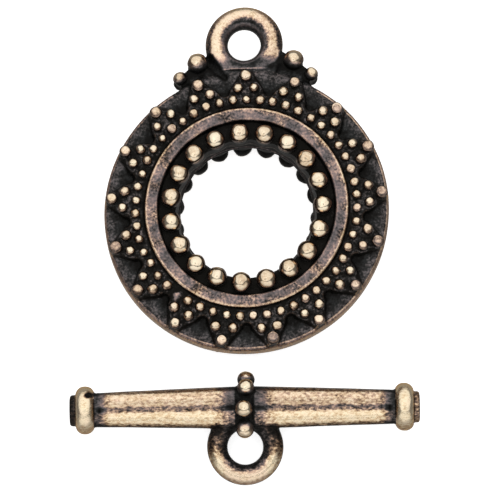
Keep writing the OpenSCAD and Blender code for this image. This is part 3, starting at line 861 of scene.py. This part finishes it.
def bead_places():
    """The large beads, drawn wider than the part's but no higher."""
    rng = np.random.default_rng(SEED + 1)
    radius = BEAD_D / 2 * BEAD_SPREAD
    z = BEAD_Z + BEAD_D / 2 - radius
    return on_faces([(BEAD_CIRCLE_R, BEAD_TURN + i * BEAD_PITCH, z, radius, rng.uniform(0.3, 0.5), 0.0)
                     for i in range(BEAD_COUNT)])


def shoulder_bead_places():
    beads = []
    for r, a, radius in shoulder_spots():
        for x, y in (around(r, a), around(r, -a)):
            for side in (1, -1):
                axis = (0.65 * x / r, 0.65 * y / r, 0.75 * side)
                foot = 0.45 if x < 0 else 0.3
                z = side * (SHOULDER_T / 2 + SHOULDER_LIFT)
                beads.append(Bead(x + SHOULDER_SHIFT, y + RING_SHEAR * x, z, axis, radius, foot, 0.0))
    return beads


def band_bead_places():
    beads = []
    for angle, at, out, foot in BAND_BEADS:
        axis = (0, *around(1, math.radians(angle)))
        reach = BAND_BEAD_REACH + out
        beads.append(Bead(at, reach * axis[1] + bent(0), reach * axis[2], axis, BAND_BEAD_D / 2, foot, 0.0))
    return beads


# Materials

def linear(code):
    """Linear RGBA of an sRGB hex colour."""
    parts = [int(code[i:i + 2], 16) / 255 for i in (1, 3, 5)]
    return [c / 12.92 if c <= 0.04045 else ((c + 0.055) / 1.055) ** 2.4 for c in parts] + [1.0]


def antique_brass(name, rub_and_light, speckle, least_rough, bumps, streak=1.0, richness=1.0):
    """Cast brass under a black oxide, rubbed back on what stands out: black in the hollows, a copper-violet
    film where the cloth barely reached, and pale brass with a soft polish on the high places.
    rub builds the nodes that say how far the polishing went, from 0 to 1, and where light and shade are
    painted. speckle is the strength of the film's grain, least_rough the roughness of the brightest places,
    and bumps the strength of the skin's pits. A streak under 1 draws the grain out along X, and a richness
    under 1 makes the colours paler."""
    material = bpy.data.materials.new(name)
    material.use_nodes = True
    tree = material.node_tree
    tree.nodes.clear()
    add = partial(add_node, tree)
    place = add("ShaderNodeTexCoord")["Object"]

    # Speckle of the film, strongest where the polish just broke through, and blotches
    brushed = add("ShaderNodeVectorMath", place, (streak, 1.0, 1.0), operation="MULTIPLY")[0]
    grain = add("ShaderNodeTexNoise", {
        "Vector": brushed, "Scale": 1 / (GRAIN * MM), "Detail": 3.0, "Roughness": 0.65})[0]
    blotch = add("ShaderNodeTexNoise", {"Vector": place, "Scale": 1 / (BLOTCH * MM)})[0]
    grain = add("ShaderNodeMath", grain, 0.5, operation="SUBTRACT")[0]
    blotch = add("ShaderNodeMath", blotch, 0.5, operation="SUBTRACT")[0]
    level = rub_and_light(add)
    off_middle = add("ShaderNodeMath", level, 0.55, operation="SUBTRACT")[0]
    off_middle = add("ShaderNodeMath", off_middle, operation="ABSOLUTE")[0]
    strength = add("ShaderNodeMapRange", off_middle, 0.12, 0.42, 1.7, 0.8)[0]
    cool = add("ShaderNodeAttribute", attribute_name="cool")["Fac"]
    calm = add("ShaderNodeMapRange", cool, 0.6, 1.0, 1.0, 0.4)[0]
    strength = add("ShaderNodeMath", strength, calm, operation="MULTIPLY")[0]
    grain = add("ShaderNodeMath", grain, speckle, operation="MULTIPLY")[0]
    speckled = add("ShaderNodeMath", grain, strength, level, operation="MULTIPLY_ADD")[0]
    bared = add("ShaderNodeMath", blotch, 0.35, speckled, operation="MULTIPLY_ADD", use_clamp=True)[0]

    # Colour of the film, by how far it is rubbed away and how violet it is
    films = []
    for stops in (BROWN_FILM, VIOLET_FILM):
        film = add("ShaderNodeValToRGB", bared)[0]
        colours = film.node.color_ramp.elements
        while len(colours) < len(stops):
            colours.new(0.5)
        for element, (position, code) in zip(colours, stops):
            element.position = position
            element.color = linear(code)
        films.append(film)
    violet = add("ShaderNodeMath", blotch, 1.3, cool, operation="MULTIPLY_ADD", use_clamp=True)[0]
    colour = add("ShaderNodeMix", {0: violet, 6: films[0], 7: films[1]}, data_type="RGBA")[2]
    colour = add("ShaderNodeHueSaturation", {"Color": colour, "Saturation": richness})[0]

    # The bare metal shines, and is a deeper gold where it is seen at a low angle
    metal = add("ShaderNodeMapRange", bared, 0.05, 0.4, 0.15, 1.0)[0]
    rough = add("ShaderNodeMapRange", bared, 0.1, 0.8, 0.45, least_rough)[0]
    bare = add("ShaderNodeMapRange", bared, 0.6, 1.0, 0.0, 1.0)[0]
    tint = add("ShaderNodeMix", {0: bare, 6: linear("#efe8de"), 7: linear("#dcb98a")}, data_type="RGBA")[2]
    pits = add("ShaderNodeTexNoise", {"Vector": place, "Scale": 1 / (PIT * MM), "Detail": 3.0})[0]
    bump = add("ShaderNodeBump", {"Height": pits, "Strength": bumps, "Distance": PIT_DEPTH * MM})[0]
    shader = add("ShaderNodeBsdfPrincipled", {
        "Base Color": colour, "Metallic": metal, "Roughness": rough, "Specular IOR Level": 0.12,
        "Specular Tint": tint, "Normal": bump})[0]
    add("ShaderNodeOutputMaterial", shader)
    return material


def casting_rub_and_light(add):
    """The level stored on the casting, and a line of the stored mark's strength, full up to 0.3 of its half
    width and gone at 1."""
    rub_and_light, mark, line = [add("ShaderNodeAttribute", attribute_name=key)["Fac"]
                       for key in ("rub_and_light", "mark", "line")]
    away = add("ShaderNodeMath", line, operation="ABSOLUTE")[0]
    near = add("ShaderNodeMapRange", away, 0.3, 1.0, 1.0, 0.0, interpolation_type="SMOOTHSTEP")[0]
    return add("ShaderNodeMath", near, mark, rub_and_light, operation="MULTIPLY_ADD")[0]


def crown_rub_and_shade(add):
    """Beads and granules are bright on top, brown on their sides and black round their foot. Their left and
    right sides, and their lower side where that is asked for, get painted shade. A dish worn into the crown
    is duller."""
    crown, foot, flank, luck, worn = [add("ShaderNodeAttribute", attribute_name=key)["Fac"]
                                      for key in ("crown", "foot", "flank", "luck", "worn")]
    above = add("ShaderNodeMath", crown, foot, operation="SUBTRACT")[0]
    # Painted shade: the left and right sides, and the lower side where it is asked for, stay darker.
    above = add("ShaderNodeMath", above, flank, operation="SUBTRACT")[0]
    most = add("ShaderNodeMapRange", luck, 0.0, 1.0, 0.48, 0.28)[0]
    top = add("ShaderNodeMapRange", above, -0.2, 0.14, 0.0, most)[0]
    sides = add("ShaderNodeMapRange", crown, -0.3, 0.5, 0.06, 0.54)[0]
    rub_and_light = add("ShaderNodeMath", top, sides, operation="ADD")[0]
    dish = add("ShaderNodeMapRange", crown, DISH_RIM, DISH_FULL, 0.0, -0.24)[0]
    return add("ShaderNodeMath", dish, worn, rub_and_light, operation="MULTIPLY_ADD")[0]


def white_paper():
    """Matt white paper, lit from behind a little, so that it looks pure white."""
    material = bpy.data.materials.new("white_paper")
    material.use_nodes = True
    shader = material.node_tree.nodes["Principled BSDF"]
    for key, value in (("Base Color", linear("#f4f4f4")), ("Roughness", 0.9),
                       ("Emission Color", linear("#ffffff")), ("Emission Strength", 0.75)):
        shader.inputs[key].default_value = value
    return material


# Stage

def make_floor():
    """Sheet of paper. The clasp doesn't mirror it: the tent's light from below stands in for it."""
    half = 2
    mesh = bpy.data.meshes.new("floor")
    corners = [(-half, -half, 0), (half, -half, 0), (half, half, 0), (-half, half, 0)]
    mesh.from_pydata(corners, [], [(0, 1, 2, 3)])
    mesh.materials.append(white_paper())
    floor = new_object("floor", mesh)
    floor.visible_glossy = False


def softbox(name, azimuth, elevation, distance, size, watts):
    """Square white studio light that faces the clasp. Azimuth 0 is the camera's side, 90 the right."""
    light = bpy.data.lights.new(name, "AREA")
    light.size = size
    light.energy = watts
    a, e = math.radians(azimuth), math.radians(elevation)
    at = Vector((math.sin(a) * math.cos(e), -math.cos(a) * math.cos(e), math.sin(e)))
    facing = at.to_track_quat("Z", "Y").to_matrix().to_4x4()
    new_object(name, light).matrix_world = Matrix.Translation(at * distance) @ facing


def over_front(tilt):
    """Direction that stands that high over the front."""
    return Vector((0, -math.cos(tilt), math.sin(tilt)))


def make_world():
    """White tent round the clasp: a wide round panel over and beyond it, with the camera's dark lens in it, a
    panel before it under a dark seam, open sides to the left and right, and little light from below."""
    world = bpy.data.worlds.new("tent")
    bpy.context.scene.world = world
    world.use_nodes = True
    tree = world.node_tree
    tree.nodes.clear()
    add = partial(add_node, tree)
    direction = add("ShaderNodeTexCoord")["Generated"]
    follows = dict(add("ShaderNodeSeparateXYZ", direction).items())
    for name, tilt in (("off panel", PANEL_TILT), ("off lens", CAMERA_TILT)):
        dot = add("ShaderNodeVectorMath", direction, over_front(tilt), operation="DOT_PRODUCT")["Value"]
        follows[name] = add("ShaderNodeMath", dot, operation="ARCCOSINE")[0]

    # Each step of the light: what it follows, from where to where, and the light at either end
    light = {}
    for name, along, *span in (
            ("panel rim", "off panel", math.radians(62), math.radians(64), 1, 0),
            ("panel fade", "off panel", math.radians(20), math.radians(62), 1.12, 0.88),
            ("lens", "off lens", math.radians(7), math.radians(12), 0.4, 1),
            ("seam", "off panel", math.radians(69), math.radians(71), 0, 1),
            ("front", "Y", -0.35, -0.6, 0, 1),
            ("front fade", "Z", -0.1, 0.35, 0.4, 0.95),
            ("below", "Z", -1, 0.1, 0.5, 0.16)):
        light[name] = add("ShaderNodeMapRange", follows[along], *span)[0]
    for name, operation, one, other in (
            ("panel", "MULTIPLY", "panel rim", "panel fade"),
            ("panel", "MULTIPLY", "panel", "lens"),
            ("front", "MULTIPLY", "seam", "front"),
            ("front", "MULTIPLY", "front", "front fade"),
            ("tent", "MAXIMUM", "panel", "front"),
            ("tent", "MAXIMUM", "tent", "below")):
        light[name] = add("ShaderNodeMath", light[one], light[other], operation=operation)[0]
    back = add("ShaderNodeBackground", {"Color": linear("#ffffff"), "Strength": light["tent"]})[0]
    add("ShaderNodeOutputWorld", back)


def make_camera():
    """Long lens from nearly overhead, a little to the front, as the clasp was photographed."""
    camera = new_object("camera", bpy.data.cameras.new("camera"))
    camera.data.sensor_width = 36
    camera.data.lens = CAMERA_LENS
    camera.data.clip_start = 0.01
    towards = over_front(CAMERA_TILT)
    at = (Vector(CAMERA_AIM) + towards * CAMERA_AWAY) * MM
    facing = (-towards).to_track_quat("-Z", "Y").to_matrix().to_4x4()
    camera.matrix_world = Matrix.Translation(at) @ facing @ Matrix.Rotation(CAMERA_ROLL, 4, "Z")
    bpy.context.scene.camera = camera


def make_clasp():
    """The two castings and their three sets of beads, attached to one body, with the part's ring and bar
    hidden.
    """
    ring_finish = antique_brass("antique_brass_ring", casting_rub_and_light, speckle=1.0, least_rough=0.24, bumps=0.6)
    bar_finish = antique_brass("antique_brass_bar", casting_rub_and_light, speckle=1.1, least_rough=0.24, bumps=0.6,
                               streak=0.6)
    bead_finish = antique_brass("antique_brass_beads", crown_rub_and_shade, speckle=0.45, least_rough=0.08, bumps=0.15,
                                richness=0.87)
    granules_tree = bead_tree("granules", segments=18, rings=12)
    beads_tree = bead_tree("beads", segments=28, rings=18)
    ring, bar = make_ring(), make_bar()
    ring.data.materials.append(ring_finish)
    bar.data.materials.append(bar_finish)
    granules = set_beads("ring_granules", granule_places(), ring_place(), granules_tree, bead_finish, {
        "Lump height": 0.12 * MM, "Lump length": 0.3, "Size spread": 0.09,
        "Side shade share": 0.3, "Lower shade share": 0.5})
    beads = set_beads("ring_beads", bead_places() + shoulder_bead_places(), ring_place(), beads_tree,
                      bead_finish, {"Lump height": 0.12 * MM, "Lump length": 0.5})
    band_beads = set_beads("bar_beads", band_bead_places(), bar_place(), beads_tree, bead_finish,
                           {"Lump height": 0.1 * MM, "Lump length": 0.6})
    for piece in (ring, bar, granules, beads, band_beads):
        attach(piece, "root")
    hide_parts("toggle_ring")
    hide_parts("toggle_bar")


make_camera()
make_world()
make_floor()
softbox("overhead", azimuth=-25, elevation=68, distance=0.5, size=0.5, watts=0.15)
bpy.context.scene.view_settings.view_transform = "Standard"
make_clasp()
